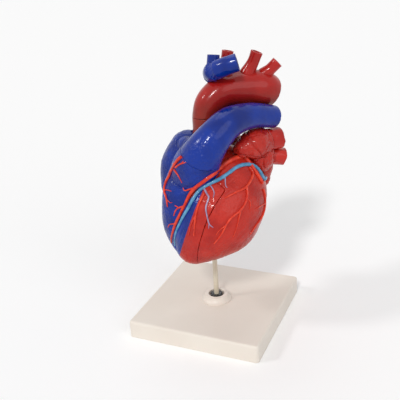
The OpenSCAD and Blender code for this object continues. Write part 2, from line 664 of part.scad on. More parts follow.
// Great vessels that lift off
module aortic_arch() color(red) in_heart() difference() {
    intersection() {
        pipe(aorta_route, artery_wall, sides = 18, bore_sides = 12);
        beyond(crown_plane, half_gap);
    }
    for (route = [trunk_route, carotid_route, subclavian_route])
        limb(route, -vein_wall, n = 1, sides = 14, run_on = 6);
}
module branch_of_arch(route) difference() {
    pipe(route, vein_wall, n = 1, sides = 16);
    aorta_form();
}
module brachiocephalic_trunk() color(red) in_heart() branch_of_arch(trunk_route);
module left_carotid_artery() color(red) in_heart() branch_of_arch(carotid_route);
module left_subclavian_artery() color(red) in_heart() branch_of_arch(subclavian_route);
module brachiocephalic_veins() color(blue) in_heart() difference() {
    union() {
        limb(superior_cava_route, n = 1, sides = 18);
        limb(right_brachial_vein_route, n = 1, sides = 16);
    }
    limb(superior_cava_route, -vein_wall, n = 1, sides = 14, run_on = 3);
    limb(right_brachial_vein_route, -vein_wall, n = 1, sides = 12, run_on = 4);
    before(crown_plane, -half_gap);
    aorta_form(slit);
    limb(trunk_route, slit, n = 1, sides = 17);
}

base_plate();
rod_collar();
base_washer();
support_rod();
toothed_nut();
rod_end_nut();
rod_socket();
left_ventricle();
right_ventricle();
mitral_valve();
tricuspid_valve();
aortic_valve();
pulmonary_valve();
left_papillary_muscles();
right_papillary_muscles();
left_tendinous_cords();
right_tendinous_cords();
aortic_root();
pulmonary_trunk();
right_pulmonary_artery();
right_atrium();
left_atrium();
right_pulmonary_veins();
superior_vena_cava();
inferior_vena_cava();
left_coronary_artery();
cardiac_vein_stem();
left_marginal_arteries();
coronary_sinus();
posterior_descending_artery();
seam_magnets();
front_wall_left();
front_wall_right();
front_wall_magnets();
anterior_descending_artery();
great_cardiac_vein();
diagonal_artery();
right_coronary_artery();
right_atrium_wall();
right_atrium_magnets();
left_atrium_wall();
left_superior_pulmonary_vein();
left_inferior_pulmonary_vein();
left_atrium_magnets();
aortic_arch();
brachiocephalic_trunk();
left_carotid_artery();
left_subclavian_artery();
brachiocephalic_veins();
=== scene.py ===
import math
import bpy
from mathutils import Matrix, Vector, noise
from mathutils.bvhtree import BVHTree


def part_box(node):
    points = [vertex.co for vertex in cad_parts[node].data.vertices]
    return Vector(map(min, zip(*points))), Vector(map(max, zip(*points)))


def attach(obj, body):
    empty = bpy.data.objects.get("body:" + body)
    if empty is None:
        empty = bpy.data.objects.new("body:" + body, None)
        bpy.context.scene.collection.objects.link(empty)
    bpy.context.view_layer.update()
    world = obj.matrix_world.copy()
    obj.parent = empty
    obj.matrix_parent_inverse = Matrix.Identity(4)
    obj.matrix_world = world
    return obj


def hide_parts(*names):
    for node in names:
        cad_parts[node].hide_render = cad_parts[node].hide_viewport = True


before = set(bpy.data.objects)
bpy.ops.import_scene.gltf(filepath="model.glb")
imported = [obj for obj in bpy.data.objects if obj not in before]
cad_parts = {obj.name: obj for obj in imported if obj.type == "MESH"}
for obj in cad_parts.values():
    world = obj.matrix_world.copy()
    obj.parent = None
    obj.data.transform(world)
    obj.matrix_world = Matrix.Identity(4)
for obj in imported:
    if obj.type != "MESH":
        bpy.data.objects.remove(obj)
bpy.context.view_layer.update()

scene = bpy.context.scene
scene.view_settings.view_transform = "Standard"
MM = 0.001

# Camera: stands in front, to the right of the model and a little above it, rolled by a few degrees
# as it was held. Its lens is LENS_PX pixels long for a picture that is PICTURE_PX pixels wide.
LENS_PX, PICTURE_PX, SENSOR = 650.09, 400, 36
EYE = Vector((0.29072, -0.66871, 0.47649))
right = Vector((0.9093378, 0.4160586, 0.0))
up = Vector((-0.1645168, 0.3595679, 0.9185016))
back = Vector((0.3821505, -0.8352282, 0.3954173))
roll = math.radians(3.602)
cam_x = right * math.cos(roll) - up * math.sin(roll)
cam_y = right * math.sin(roll) + up * math.cos(roll)
camera = bpy.data.objects.new("camera", bpy.data.cameras.new("camera"))
scene.collection.objects.link(camera)
camera.data.lens = LENS_PX * SENSOR / PICTURE_PX
camera.data.sensor_width = SENSOR
camera.data.clip_start = 0.01
camera.matrix_world = Matrix.Translation(EYE) @ Matrix((cam_x, cam_y, back)).transposed().to_4x4()
scene.camera = camera

# Base: a square block of cream plastic, moulded in one with rounded corners and a soft top edge.
# The foot of the rod is screwed up from a round pocket in its underside. The solid from the
# frame already has this shape, so it only gets its plastic.
class Wire:
    """One socket of a material; sums and products of wires add their Math nodes."""
    def __init__(self, tree, socket):
        self.tree, self.socket = tree, socket

    def math(self, operation, *others):
        step = self.tree.nodes.new("ShaderNodeMath")
        step.operation = operation
        for slot, value in zip(step.inputs, (self,) + others):
            plug(self.tree, slot, value)
        return Wire(self.tree, step.outputs[0])

    def __add__(self, other): return self.math("ADD", other)
    def __radd__(self, other): return self.math("ADD", other)
    def __sub__(self, other): return self.math("SUBTRACT", other)
    def __mul__(self, other): return self.math("MULTIPLY", other)
    def __rmul__(self, other): return self.math("MULTIPLY", other)
    def __rsub__(self, other): return as_wire(self.tree, other).math("SUBTRACT", self)


def as_wire(tree, number):
    """A number as a socket, for a sum that starts with one."""
    value = tree.nodes.new("ShaderNodeValue")
    value.outputs[0].default_value = number
    return Wire(tree, value.outputs[0])


def plug(tree, slot, value):
    """Links a wire to a socket, or sets the socket to a plain value."""
    if isinstance(value, Wire):
        tree.links.new(value.socket, slot)
    else:
        slot.default_value = value


class Finish:
    """A material under construction, with its principled shader ready."""
    def __init__(self, name, **sockets):
        self.material = bpy.data.materials.new(name)
        self.material.use_nodes = True
        self.tree = self.material.node_tree
        self.shader = self.tree.nodes["Principled BSDF"]
        self.place = self.node("ShaderNodeTexCoord", out="Object")
        self.set(**sockets)

    def node(self, kind, settings=(), out=0, **values):
        """A node: its settings first, then the values or links of its sockets, each by its name,
        or by its number as i0, i1 and on."""
        step = self.tree.nodes.new(kind)
        for key, value in dict(settings).items():
            setattr(step, key, value)
        for key, value in values.items():
            numbered = key[0] == "i" and key[1:].isdigit()
            slot = step.inputs[int(key[1:]) if numbered else key.replace("_", " ")]
            plug(self.tree, slot, value)
        return Wire(self.tree, step.outputs[out])

    def set(self, **sockets):
        for key, value in sockets.items():
            plug(self.tree, self.shader.inputs[key.replace("_", " ")], value)

    def speckle(self, scale, detail=2, place=None, rough=0.5):
        """Cloudy noise from 0 to 1 with about this many spots to a metre."""
        return self.node("ShaderNodeTexNoise", {"noise_dimensions": "3D"}, "Fac",
                         Vector=place or self.place, Scale=scale, Detail=detail, Roughness=rough)

    def band(self, value, low, high):
        """A soft step: 0 below low and 1 above high."""
        return self.node("ShaderNodeMapRange", {"interpolation_type": "SMOOTHSTEP"},
                         i0=value, i1=low, i2=high, i3=0.0, i4=1.0)

    def mix(self, factor, one, two):
        one, two = ((*tone, 1) if isinstance(tone, tuple) else tone for tone in (one, two))
        return self.node("ShaderNodeMix", {"data_type": "RGBA"}, 2, i0=factor, i6=one, i7=two)

    def bump(self, height, depth, strength=1.0, normal=None):
        below = {"Normal": normal} if normal else {}
        return self.node("ShaderNodeBump", (), 0, Height=height, Distance=depth,
                         Strength=strength, **below)


def coat(piece, finish):
    """Gives a piece this finish alone."""
    piece.data.materials.clear()
    piece.data.materials.append(finish.material)


cream = Finish("cream_plastic", Roughness=0.42, Coat_Weight=0.15, Coat_Roughness=0.3)
clouds = cream.band(cream.speckle(9, 3), 0.3, 0.7)
cream.set(Base_Color=cream.mix(clouds, (0.755, 0.68, 0.60), (0.81, 0.745, 0.665)),
          Roughness=0.36 + cream.speckle(60, 2) * 0.12,
          Normal=cream.bump(cream.speckle(900, 2), 0.00004, 0.5))
coat(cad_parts["base_plate"], cream)

# Collar: a turned ring of the same cream plastic, moulded on the base round the rod. It has a
# step at its foot, a soft cone and a rim, and a round recess that takes the toothed nut.
BASE_TOP = 22.5
COLLAR = [(3.25, 3), (10, 3), (10, 7.4), (10.6, 8), (14, 8), (15, 7.4), (15.5, 6.4), (16.4, 4.2),
          (18.6, 1.9), (19.3, 1.5), (19.5, 1.1), (19.5, 0), (3.25, 0)]


def lathe(name, profile, height, steps=96):
    """A closed outline in millimetres, as radius and height, spun round the Z axis."""
    smooth_below = math.radians(32)
    mesh = bpy.data.meshes.new(name)
    mesh.from_pydata([(r * MM, 0, (z + height) * MM) for r, z in profile],
                     [(i, (i + 1) % len(profile)) for i in range(len(profile))], [])
    piece = bpy.data.objects.new(name, mesh)
    scene.collection.objects.link(piece)
    pick(piece)
    bpy.ops.object.mode_set(mode="EDIT")
    bpy.ops.mesh.select_all(action="SELECT")
    bpy.ops.mesh.spin(steps=steps, angle=math.tau, center=(0, 0, 0), axis=(0, 0, 1))
    bpy.ops.mesh.remove_doubles(threshold=1e-6)
    bpy.ops.mesh.select_all(action="SELECT")
    bpy.ops.mesh.normals_make_consistent(inside=False)
    bpy.ops.object.mode_set(mode="OBJECT")
    bpy.ops.object.shade_smooth_by_angle(angle=smooth_below)
    return piece


def pick(*pieces):
    """Selects these pieces alone and makes the first one active."""
    bpy.ops.object.select_all(action="DESELECT")
    for piece in pieces:
        piece.select_set(True)
    bpy.context.view_layer.objects.active = pieces[0]


def settle(piece, body, slot, finish, *nodes):
    """Paints a finished piece, puts it on its body and takes the frame's solids out of view."""
    coat(piece, finish)
    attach(piece, body)
    if nodes:
        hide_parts(*nodes)


collar = lathe("rod_collar_ring", COLLAR, BASE_TOP)
settle(collar, "stand", "base", cream, "rod_collar")

# Rod: a straight round rod with a cream coat, threaded at its foot below the base and with a
# small chamfer at its top inside the heart.
ivory_rod = Finish("rod_coat", Coat_Weight=0.4, Coat_Roughness=0.15)
ivory_rod.set(Base_Color=ivory_rod.mix(ivory_rod.band(ivory_rod.speckle(40, 3), 0.35, 0.65),
                                       (0.60, 0.53, 0.40), (0.70, 0.64, 0.51)),
              Roughness=0.28 + ivory_rod.speckle(120, 2) * 0.1)
rod_low, rod_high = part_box("support_rod")
rod_bottom, rod_top = rod_low.z / MM, rod_high.z / MM
ROD_R, CHAMFER = 3.2, 0.6
ROD = [(0, rod_bottom), (ROD_R - CHAMFER, rod_bottom), (ROD_R, rod_bottom + CHAMFER),
       (ROD_R, rod_top - CHAMFER), (ROD_R - CHAMFER, rod_top), (0, rod_top)]
rod = lathe("support_rod_bar", ROD, height=0, steps=64)
settle(rod, "rod", "rod", ivory_rod, "support_rod")

# Hardware of the rod: the toothed nut in the collar, and the washer and hexagonal nut in the pocket
# under the base, all dark plated steel with worn, brighter edges.
dark_steel = Finish("dark_plated_steel", Metallic=1.0)
dark_steel.set(Base_Color=dark_steel.mix(dark_steel.band(dark_steel.speckle(500, 3), 0.4, 0.7),
                                         (0.05, 0.05, 0.055), (0.17, 0.165, 0.16)),
               Roughness=0.32 + dark_steel.speckle(800, 2) * 0.25)
for node in ("toothed_nut", "rod_end_nut", "base_washer"):
    coat(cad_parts[node], dark_steel)

# Left ventricle, core part: the thick red wall of the pumping chamber, with the septum. It is cast
# in plastic from one rounded form and cut along the seam where the front wall comes off.
HEART = Matrix.Translation((0, 0, 0.1)) @ Matrix.Rotation(math.radians(-30), 4, "Z")
LEFT_WALL = 9
LEFT_VENTRICLE = [(14, 11, 89, 43), (18, 9, 75, 49), (20, -1, 64, 53), (22, -9, 56, 53),
                  (21, -22, 43, 42.5), (20, -34, 30, 30.5), (19, -42, 22, 22.5)]
MIDDLE = (14, -14, 66)


def spot(row):
    """A point of the heart's own frame, in millimetres, as a place in the scene."""
    return HEART @ (Vector(row[:3]) * MM)


def flow(rows, steps=8):
    """Smooth rows between the given rows of x, y, z and a size."""
    rows = [Vector(row) if len(row) < 5 else row for row in rows]
    smooth = []
    for i in range(len(rows) - 1):
        a, b, c, d = (rows[min(max(k, 0), len(rows) - 1)] for k in range(i - 1, i + 3))
        for t in (k / steps for k in range(steps)):
            smooth.append((2 * b + (c - a) * t + (2 * a - 5 * b + 4 * c - d) * t * t
                           + (3 * b - a - 3 * c + d) * t ** 3) / 2)
    return smooth + [rows[-1]]


def tube(rows, domed=(False, False), sides=14):
    """A closed round limb through rows of x, y, z and radius in the heart's frame."""
    dome_turns = (15, 30, 45, 60, 72, 82, 88)
    ends = []
    for end, near, wanted in ((rows[0], rows[1], domed[0]), (rows[-1], rows[-2], domed[1])):
        turns = [math.radians(turn) for turn in dome_turns] if wanted else []
        tip, radius = Vector(end[:3]), end[3]
        out = (tip - Vector(near[:3])).normalized()
        ends.append([(*(tip + out * radius * math.sin(a)), radius * math.cos(a)) for a in turns])
    rows = ends[0][::-1] + [tuple(row) for row in rows] + ends[1]
    curve = bpy.data.curves.new("limb", "CURVE")
    curve.dimensions, curve.use_fill_caps = "3D", True
    curve.bevel_depth, curve.bevel_resolution = MM, sides
    line = curve.splines.new("POLY")
    line.points.add(len(rows) - 1)
    for point, row in zip(line.points, rows):
        point.co, point.radius = (*spot(row), 1), row[3]
    limb = bpy.data.objects.new("limb", curve)
    scene.collection.objects.link(limb)
    pick(limb)
    bpy.ops.object.convert(target="MESH")
    return bpy.context.view_layer.objects.active


def egg(rows, grow=0):
    """The hull of a row of balls, each given as x, y, z and radius."""
    balls = []
    for row in rows:
        bpy.ops.mesh.primitive_uv_sphere_add(segments=72, ring_count=44,
                                             radius=(row[3] + grow) * MM, location=spot(row))
        balls.append(bpy.context.view_layer.objects.active)
    pick(*balls)
    bpy.ops.object.join()
    bpy.ops.object.transform_apply(location=True, rotation=True, scale=True)
    bpy.ops.object.mode_set(mode="EDIT")
    bpy.ops.mesh.select_all(action="SELECT")
    bpy.ops.mesh.convex_hull()
    bpy.ops.object.mode_set(mode="OBJECT")
    return bpy.context.view_layer.objects.active


def skin(forms):
    """A search tree over the skins of some forms."""
    points, faces = [], []
    for form in forms:
        start = len(points)
        points += [form.matrix_world @ v.co for v in form.data.vertices]
        faces += [[start + i for i in face.vertices] for face in form.data.polygons]
    return BVHTree.FromPolygons(points, faces)


def surface(*forms):
    """The skins of helper forms, which are then dropped."""
    tree = skin(forms)
    for form in forms:
        bpy.data.objects.remove(form)
    return tree


def grown(rows, by):
    """The same rows with larger radii, or with smaller ones that keep a least size."""
    least = 0.3
    return [(*row[:3], max(row[3] + by, least)) for row in rows]


def cast(node, outside=None, inside=None, relief=None, voxel=0.9, soften=2):
    """A fine skin on a copy of the frame's solid: facets are eased onto the smooth forms, and the
    relief, a function of a point in the heart's frame in millimetres, raises the outer skin.
    Cut faces and rims stay as they are: they face another way than the forms do."""
    reach, facing = 1.3, 0.25
    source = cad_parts[node]
    mesh = source.data.copy()
    mesh.transform(source.matrix_world)
    piece = bpy.data.objects.new(node + "_cast", mesh)
    scene.collection.objects.link(piece)
    pick(piece)
    bpy.ops.object.mode_set(mode="EDIT")
    bpy.ops.mesh.select_all(action="SELECT")
    bpy.ops.mesh.remove_doubles(threshold=2e-6)
    bpy.ops.mesh.normals_make_consistent(inside=False)
    bpy.ops.object.mode_set(mode="OBJECT")
    remesh = piece.modifiers.new("remesh", "REMESH")
    remesh.mode, remesh.voxel_size, remesh.use_smooth_shade = "VOXEL", voxel * MM, True
    bpy.ops.object.modifier_apply(modifier=remesh.name)
    smooth = piece.modifiers.new("smooth", "SMOOTH")
    smooth.factor, smooth.iterations = 0.5, soften
    bpy.ops.object.modifier_apply(modifier=smooth.name)
    into_heart = HEART.inverted()
    vertices = piece.data.vertices
    normals = [v.normal.copy() for v in vertices]
    places = [v.co.copy() for v in vertices]
    for i, (place, normal) in enumerate(zip(places, normals)):
        for tree, side in ((outside, 1), (inside, -1)):
            if not tree:
                continue
            hit, face, index, distance = tree.find_nearest(place, reach * MM)
            if hit is None:
                continue
            share = min(max((face.dot(normal) * side - facing) / facing, 0), 1)
            if share:
                place = place.lerp(hit, share)
                if relief and side > 0:
                    height = relief(into_heart @ place / MM)
                    place = place + normal * height * share * MM
                break
        vertices[i].co = place
    piece.data.update()
    bpy.ops.object.shade_smooth()
    return piece


STRANDS_RUN, STRANDS_FACE = Vector((0.62, -0.2, 0.76)), Vector((0.3, -0.95, 0.0))


def fibres(p):
    """Muscle strands that wind down and to the left over the ventricle, half a millimetre high."""
    side = STRANDS_RUN.cross(STRANDS_FACE).normalized()
    depth = STRANDS_RUN.cross(side)
    q = Vector((p.dot(STRANDS_RUN) * 0.045, p.dot(side) * 0.42, p.dot(depth) * 0.12))
    return 0.34 * noise.noise(q) + 0.24 * noise.noise(q * 2.3) + 0.12 * noise.noise(p * 0.5)


def painted(name):
    """Paint under a thin clear coat."""
    return Finish(name, Specular_IOR_Level=0.14, Coat_Weight=0.3, Coat_Roughness=0.08)


def brushed(finish, colours, brush=45):
    """Two tones that run into each other unevenly, as brushed paint does."""
    return finish.mix(finish.band(finish.speckle(brush, 4), 0.35, 0.65), *colours)


STROKE_TURNS, STROKE_SIZE = (-22, 38, -20), (0.0016, 0.0016, 0.009)


def grain(finish):
    """Fine strokes that lie along the muscle's strands, over small specks."""
    lie = finish.node("ShaderNodeMapping", {"vector_type": "TEXTURE"}, 0, Vector=finish.place,
                      Rotation=tuple(math.radians(turn) for turn in STROKE_TURNS),
                      Scale=STROKE_SIZE)
    specks = finish.bump(finish.speckle(430, 3), 0.0009, 0.75)
    return finish.bump(finish.speckle(1, 3, lie), 0.0009, 0.7, specks)


RED = (0.40, 0.012, 0.007), (0.53, 0.024, 0.013)
red_cast = painted("red_painted_plastic")
red_cast.set(Base_Color=brushed(red_cast, RED), Roughness=0.28 + red_cast.speckle(140, 2) * 0.16,
             Normal=grain(red_cast))
left_skin = surface(egg(LEFT_VENTRICLE))
left_lining = surface(egg(LEFT_VENTRICLE, -LEFT_WALL))
left_ventricle = cast("left_ventricle", left_skin, left_lining, fibres, voxel=1.12)
settle(left_ventricle, "heart_core", "red", red_cast, "left_ventricle")

# Front wall, left half: the red part of the wall that pulls off to open the left ventricle. A
# strip of it beside the great vein is painted blue like its neighbour, with a ragged edge.
PAINT_EDGE, PAINT_SIDE = (33.8, -52, 68.1), (-0.738, -0.572, 0.357)
RAGGED, EDGE_WIDTH = 0.0016, 0.0002
BLUE = (0.001, 0.016, 0.18), (0.002, 0.03, 0.29)
two_tone = painted("red_and_blue_painted_plastic")
beside = two_tone.node("ShaderNodeVectorMath", {"operation": "SUBTRACT"}, 0,
                       i0=two_tone.place, i1=spot(PAINT_EDGE))
past = two_tone.node("ShaderNodeVectorMath", {"operation": "DOT_PRODUCT"}, "Value", i0=beside,
                     i1=HEART.to_3x3() @ Vector(PAINT_SIDE).normalized())
strip = two_tone.band(past + (two_tone.speckle(260, 2) - 0.5) * RAGGED, -EDGE_WIDTH, EDGE_WIDTH)
two_tone.set(Base_Color=two_tone.mix(strip, brushed(two_tone, RED), brushed(two_tone, BLUE)),
             Roughness=0.28 + two_tone.speckle(140, 2) * 0.16, Normal=grain(two_tone))
front_left = cast("front_wall_left", left_skin, left_lining, fibres)
settle(front_left, "front_wall", "red", two_tone, "front_wall_left")

# Right ventricle, core part: the thin blue wall that wraps round the front of the left ventricle.
# Its skin is cast from coarse brushwork, so that it glints in small specks.
RIGHT_VENTRICLE = [(0, -45, 9, 9), (-5, -45, 24, 15), (0, -46, 45, 22.5), (3, -42, 64, 27.5),
                   (2, -34, 83, 30.5), (5, -28, 101, 29.5), (18, -30, 121, 27.5),
                   (29, -28, 138, 23), (35, -15, 155, 19.5), (36, 5, 166, 17.8)]
RIGHT_WALL = 4.5


def pebbles(p):
    """Small rounded lumps."""
    return (0.34 * noise.noise(p * 0.34) + 0.2 * noise.noise(p * 0.75 + Vector((7, 3, 1)))
            + 0.08 * noise.noise(p * 1.5))


blue_cast = painted("blue_painted_plastic")
blue_cast.set(Base_Color=brushed(blue_cast, BLUE),
              Roughness=0.2 + blue_cast.speckle(140, 2) * 0.16,
              Normal=blue_cast.bump(blue_cast.speckle(300, 3), 0.0014, 0.9))
rows = flow(RIGHT_VENTRICLE)
right_skin = surface(tube(rows, domed=(True, False), sides=30))
right_lining = surface(tube(grown(rows, -RIGHT_WALL), domed=(True, False), sides=24))
right_ventricle = cast("right_ventricle", right_skin, right_lining, pebbles)
settle(right_ventricle, "heart_core", "blue", blue_cast, "right_ventricle")

# Front wall, right half: the blue part of the wall that pulls off with the red one. It is cast like
# the core part of the right ventricle and meets it at the seam.
front_right = cast("front_wall_right", right_skin, right_lining, pebbles)
settle(front_right, "front_wall", "blue", blue_cast, "front_wall_right")

# Pulmonary trunk: the wide smooth blue vessel that rises from the right ventricle in front of the
# aorta and arches back over the left atrium. Its branch to the right lung passes behind the aorta.
ARTERY_WALL = 2.6
TRUNK_OF_LUNGS = [(2, -34, 83, 30.5), (5, -28, 101, 29.5), (18, -30, 121, 27.5),
                  (29, -28, 138, 23), (35, -15, 155, 19.5), (36, 5, 166, 17.8),
                  (36, 37, 167, 14.8), (36, 71, 158.5, 13.4)]
RIGHT_LUNG = [(30, 8, 160, 13), (16, 30, 156, 12), (-2, 45, 154, 11.5), (-20, 52, 154, 11),
              (-36, 53, 153, 11)]
LUMPY_TO, FADE = 162, 24


def ripple(p):
    """The faint unevenness of a hand-finished skin."""
    return 0.12 * noise.noise(p * 0.11) + 0.05 * noise.noise(p * 0.4)


def rise(p):
    """Lumpy where the trunk leaves the ventricle, and smooth above."""
    low = min(max((LUMPY_TO - p.z) / FADE, 0), 1)
    return low * pebbles(p) + (1 - low) * ripple(p)


SPECKS_TO, SMOOTH_FROM = 0.235, 0.27
blue_gloss = painted("blue_glossy_plastic")
height = blue_gloss.node("ShaderNodeSeparateXYZ", (), "Z", Vector=blue_gloss.place)
specks = blue_gloss.speckle(300, 3) * (1 - blue_gloss.band(height, SPECKS_TO, SMOOTH_FROM))
waves = blue_gloss.speckle(110, 2) * 0.5
blue_gloss.set(Base_Color=brushed(blue_gloss, BLUE, 30),
               Roughness=0.16 + blue_gloss.speckle(80, 2) * 0.12,
               Normal=blue_gloss.bump(specks + waves, 0.0014, 0.8))
rows, branch = flow(TRUNK_OF_LUNGS), flow(RIGHT_LUNG)
lung_skin = surface(tube(rows, sides=26), tube(branch))
lung_bore = surface(tube(grown(rows, -ARTERY_WALL), sides=20),
                    tube(grown(branch, -ARTERY_WALL)))
for node in ("pulmonary_trunk", "right_pulmonary_artery"):
    piece = cast(node, lung_skin, lung_bore, rise)
    settle(piece, "heart_core", "blue", blue_gloss, node)

# Aorta: a thick dark red arch. Its root stands in the left ventricle and belongs to the core; the
# arch above the seam lifts off with its three branches.
AORTA = [(-10, 0, 108, 14), (-9, 1, 124, 14.5), (-8, 2, 139, 15), (-8, 4, 153, 15.7),
         (-9, 6, 167, 16.2), (-8, 13, 181, 17.5), (-3, 30, 191, 19.3), (5, 53, 191, 21),
         (13, 73, 188, 21.7), (15, 86, 182, 18.8)]
BRANCHES = {
    "brachiocephalic_trunk": [(-9, 31, 196, 8.5), (-9, 32, 207, 7.4), (-7, 37, 222, 6.9),
                              (-6, 40, 236, 6.9)],
    "left_carotid_artery": [(7, 52, 196, 13), (8, 55, 207, 9.5), (12, 62, 221, 7),
                            (15, 66, 233, 7.3)],
    "left_subclavian_artery": [(13, 70, 194, 13), (16, 74, 204, 9), (21, 81, 211, 7),
                               (26, 88, 219, 7)]}
VEIN_WALL = 2
BROWN_TO, RED_FROM = 0.262, 0.296
aorta_gloss = painted("dark_red_glossy_plastic")
bright = brushed(aorta_gloss, ((0.33, 0.009, 0.007), (0.44, 0.014, 0.01)), 22)
brown = brushed(aorta_gloss, ((0.17, 0.016, 0.008), (0.27, 0.022, 0.011)), 60)
height = aorta_gloss.node("ShaderNodeSeparateXYZ", (), "Z", Vector=aorta_gloss.place)
uneven = height + (aorta_gloss.speckle(40, 3) - 0.5) * 0.02
aorta_gloss.set(Base_Color=aorta_gloss.mix(1 - aorta_gloss.band(uneven, BROWN_TO, RED_FROM),
                                           bright, brown),
                Roughness=0.16 + aorta_gloss.speckle(80, 2) * 0.12,
                Normal=aorta_gloss.bump(aorta_gloss.speckle(110, 3), 0.0006, 0.3))
rows = flow(AORTA)
aorta_skin = surface(tube(rows, sides=22))
aorta_bore = surface(tube(grown(rows, -ARTERY_WALL), sides=18))
for node, body in (("aortic_root", "heart_core"), ("aortic_arch", "great_vessels")):
    piece = cast(node, aorta_skin, aorta_bore, ripple)
    settle(piece, body, "aorta", aorta_gloss, node)
for node, rows in BRANCHES.items():
    rows = flow(rows)
    bore = tube(grown(rows, -VEIN_WALL))
    piece = cast(node, surface(tube(rows)), surface(bore), ripple, voxel=0.7)
    settle(piece, "great_vessels", "aorta", aorta_gloss, node)

# Brachiocephalic veins: the blue vein that comes down in front of the arch's branches, with the
# shorter right vein standing on it. They lift off with the arch.
GREAT_VEIN = [(-30, -4, 124, 11.5), (-33, 16, 138, 11), (-33, 26, 152, 11), (-33, 33, 166, 10.9),
              (-32, 38, 179, 10.6), (-30, 39.5, 191, 10.3), (-24, 32, 203, 9.6),
              (-14, 21, 210.5, 10.3), (-2, 14, 217, 11), (8, 16, 221, 11), (17, 21, 225, 10.4),
              (24, 29, 228, 10.2)]
ARM_VEIN = [(-14, 19, 207, 9), (-9, 18, 214, 8.5), (-8, 19, 223, 7.6), (-9, 21, 234, 7.2)]
rows, branch = flow(GREAT_VEIN), flow(ARM_VEIN)
vein_skin = surface(tube(rows), tube(branch))
vein_bore = surface(tube(grown(rows, -VEIN_WALL)), tube(grown(branch, -VEIN_WALL)))
for node, body in (("brachiocephalic_veins", "great_vessels"),
                   ("superior_vena_cava", "heart_core")):
    piece = cast(node, vein_skin, vein_bore, ripple, voxel=0.8)
    settle(piece, body, "blue", blue_gloss, node)

# Right atrium: the blue chamber on the heart's right side with its small ear in front of the
# aorta's root, and the outer wall that pulls off sideways. The lower great vein enters it from
# below.
RIGHT_ATRIUM = [(-23, -13, 126, 22.5), (-30, -21, 105, 24), (-31, -26, 82, 21)]
RIGHT_EAR = [(-24, -17, 126, 15), (-12, -23, 136, 10.5), (-3, -26, 139, 7)]
LOWER_VEIN = [(-33, -6, 98, 11), (-42, 6, 80, 11), (-46, 9, 62, 11)]


def folds(p):
    """The lumpy folds of an atrium's skin."""
    return 0.3 * noise.noise(p * 0.12 + Vector((2, 5, 9))) + 0.22 * noise.noise(p * 0.36)


atrium_skin = surface(tube(flow(RIGHT_ATRIUM), domed=(True, True), sides=22),
                      tube(flow(RIGHT_EAR), domed=(False, True)))
for node, body in (("right_atrium", "heart_core"), ("right_atrium_wall", "right_atrium_cover")):
    piece = cast(node, atrium_skin, None, folds)
    settle(piece, body, "blue", blue_cast, node)
rows = flow(LOWER_VEIN)
bore = tube(grown(rows, -VEIN_WALL))
piece = cast("inferior_vena_cava", surface(tube(rows)), surface(bore), ripple, voxel=0.8)
settle(piece, "heart_core", "blue", blue_gloss, "inferior_vena_cava")

# Left atrium: the red chamber at the back, with its pulled-off wall, its crinkled ear beside the
# pulmonary trunk, and the four open veins from the lungs, two on each side.
LEFT_ATRIUM = [(-8, 50, 110, 20), (14, 55, 107, 24), (32, 50, 114, 19)]
LEFT_FOOT = [(15, 58, 103, 22), (17, 63, 90, 18), (19, 65, 78, 11)]
LEFT_EAR = [(34, 50, 131.5, 17.5), (39, 36, 134, 16), (41, 26, 134, 13.5), (41, 18, 133, 9.5)]
LUNG_VEINS = {
    "left_superior_pulmonary_vein": (
        [[(25, 46, 129.5, 13.6), (34, 60, 132, 13.4), (38, 79, 131, 12.4)]], "left_atrium_cover"),
    "left_inferior_pulmonary_vein": (
        [[(22, 50, 112, 10.5), (26, 61, 111, 10.9), (37, 86, 105, 10.8)]], "left_atrium_cover"),
    "right_pulmonary_veins": (
        [[(-8, 50, 118, 9), (-22, 60, 119, 8.5), (-34, 65, 120, 8.5)],
         [(-6, 52, 101, 8.5), (-20, 64, 98, 8), (-32, 69, 96, 8)]], "heart_core")}
EAR_MIDDLE, CREASE_DEPTH = (46, 42, 122), 2.0


def crinkles(p):
    """Deep creases that spread over the ear from its middle, and soft folds on the rest."""
    ear = min(max((26 - abs(p.y - 26)) / 10, 0), 1) * min(max((p.x - 26) / 8, 0), 1)
    out = p - Vector(EAR_MIDDLE)
    turn = math.atan2(out.z, 0.58 * out.x + 0.815 * out.y)
    lobes = math.sin(3 * turn + 1.6 * noise.noise(p * 0.05))
    groove = math.exp(-(lobes / 0.2) ** 2) * min(out.length / 9, 1)
    small = math.exp(-(noise.noise(p * 0.13) / 0.07) ** 2)
    swell = 1.2 * noise.noise(p * 0.075 + Vector((5, 8, 2)))
    creased = 1.2 + swell - CREASE_DEPTH * groove - 0.5 * small
    return ear * creased + (1 - ear) * (folds(p) + 0.8 * swell - 0.6 * small + 0.3)


def knobs(p):
    """The uneven swelling of the short lung veins."""
    return 1.1 * noise.noise(p * 0.085 + Vector((1, 6, 3))) + 0.4 * noise.noise(p * 0.22)


red_gloss = painted("red_glossy_plastic")
red_gloss.set(Base_Color=brushed(red_gloss, ((0.40, 0.012, 0.008), (0.53, 0.022, 0.014)), 30),
              Roughness=0.2 + red_gloss.speckle(80, 2) * 0.1,
              Normal=red_gloss.bump(red_gloss.speckle(150, 2), 0.0005, 0.4))
atrium_skin = surface(tube(flow(LEFT_ATRIUM), domed=(True, True), sides=22),
                      tube(flow(LEFT_FOOT), domed=(False, True), sides=20),
                      tube(flow(LEFT_EAR), domed=(True, True), sides=16))
for node, body in (("left_atrium", "heart_core"), ("left_atrium_wall", "left_atrium_cover")):
    piece = cast(node, atrium_skin, None, crinkles)
    settle(piece, body, "red", red_cast, node)
for node, (routes, body) in LUNG_VEINS.items():
    routes = [flow(rows) for rows in routes]
    bores = [tube(grown(rows, -VEIN_WALL)) for rows in routes]
    piece = cast(node, surface(*(tube(rows) for rows in routes)), surface(*bores), knobs,
                 voxel=0.7, soften=5)
    settle(piece, body, "red", red_gloss, node)

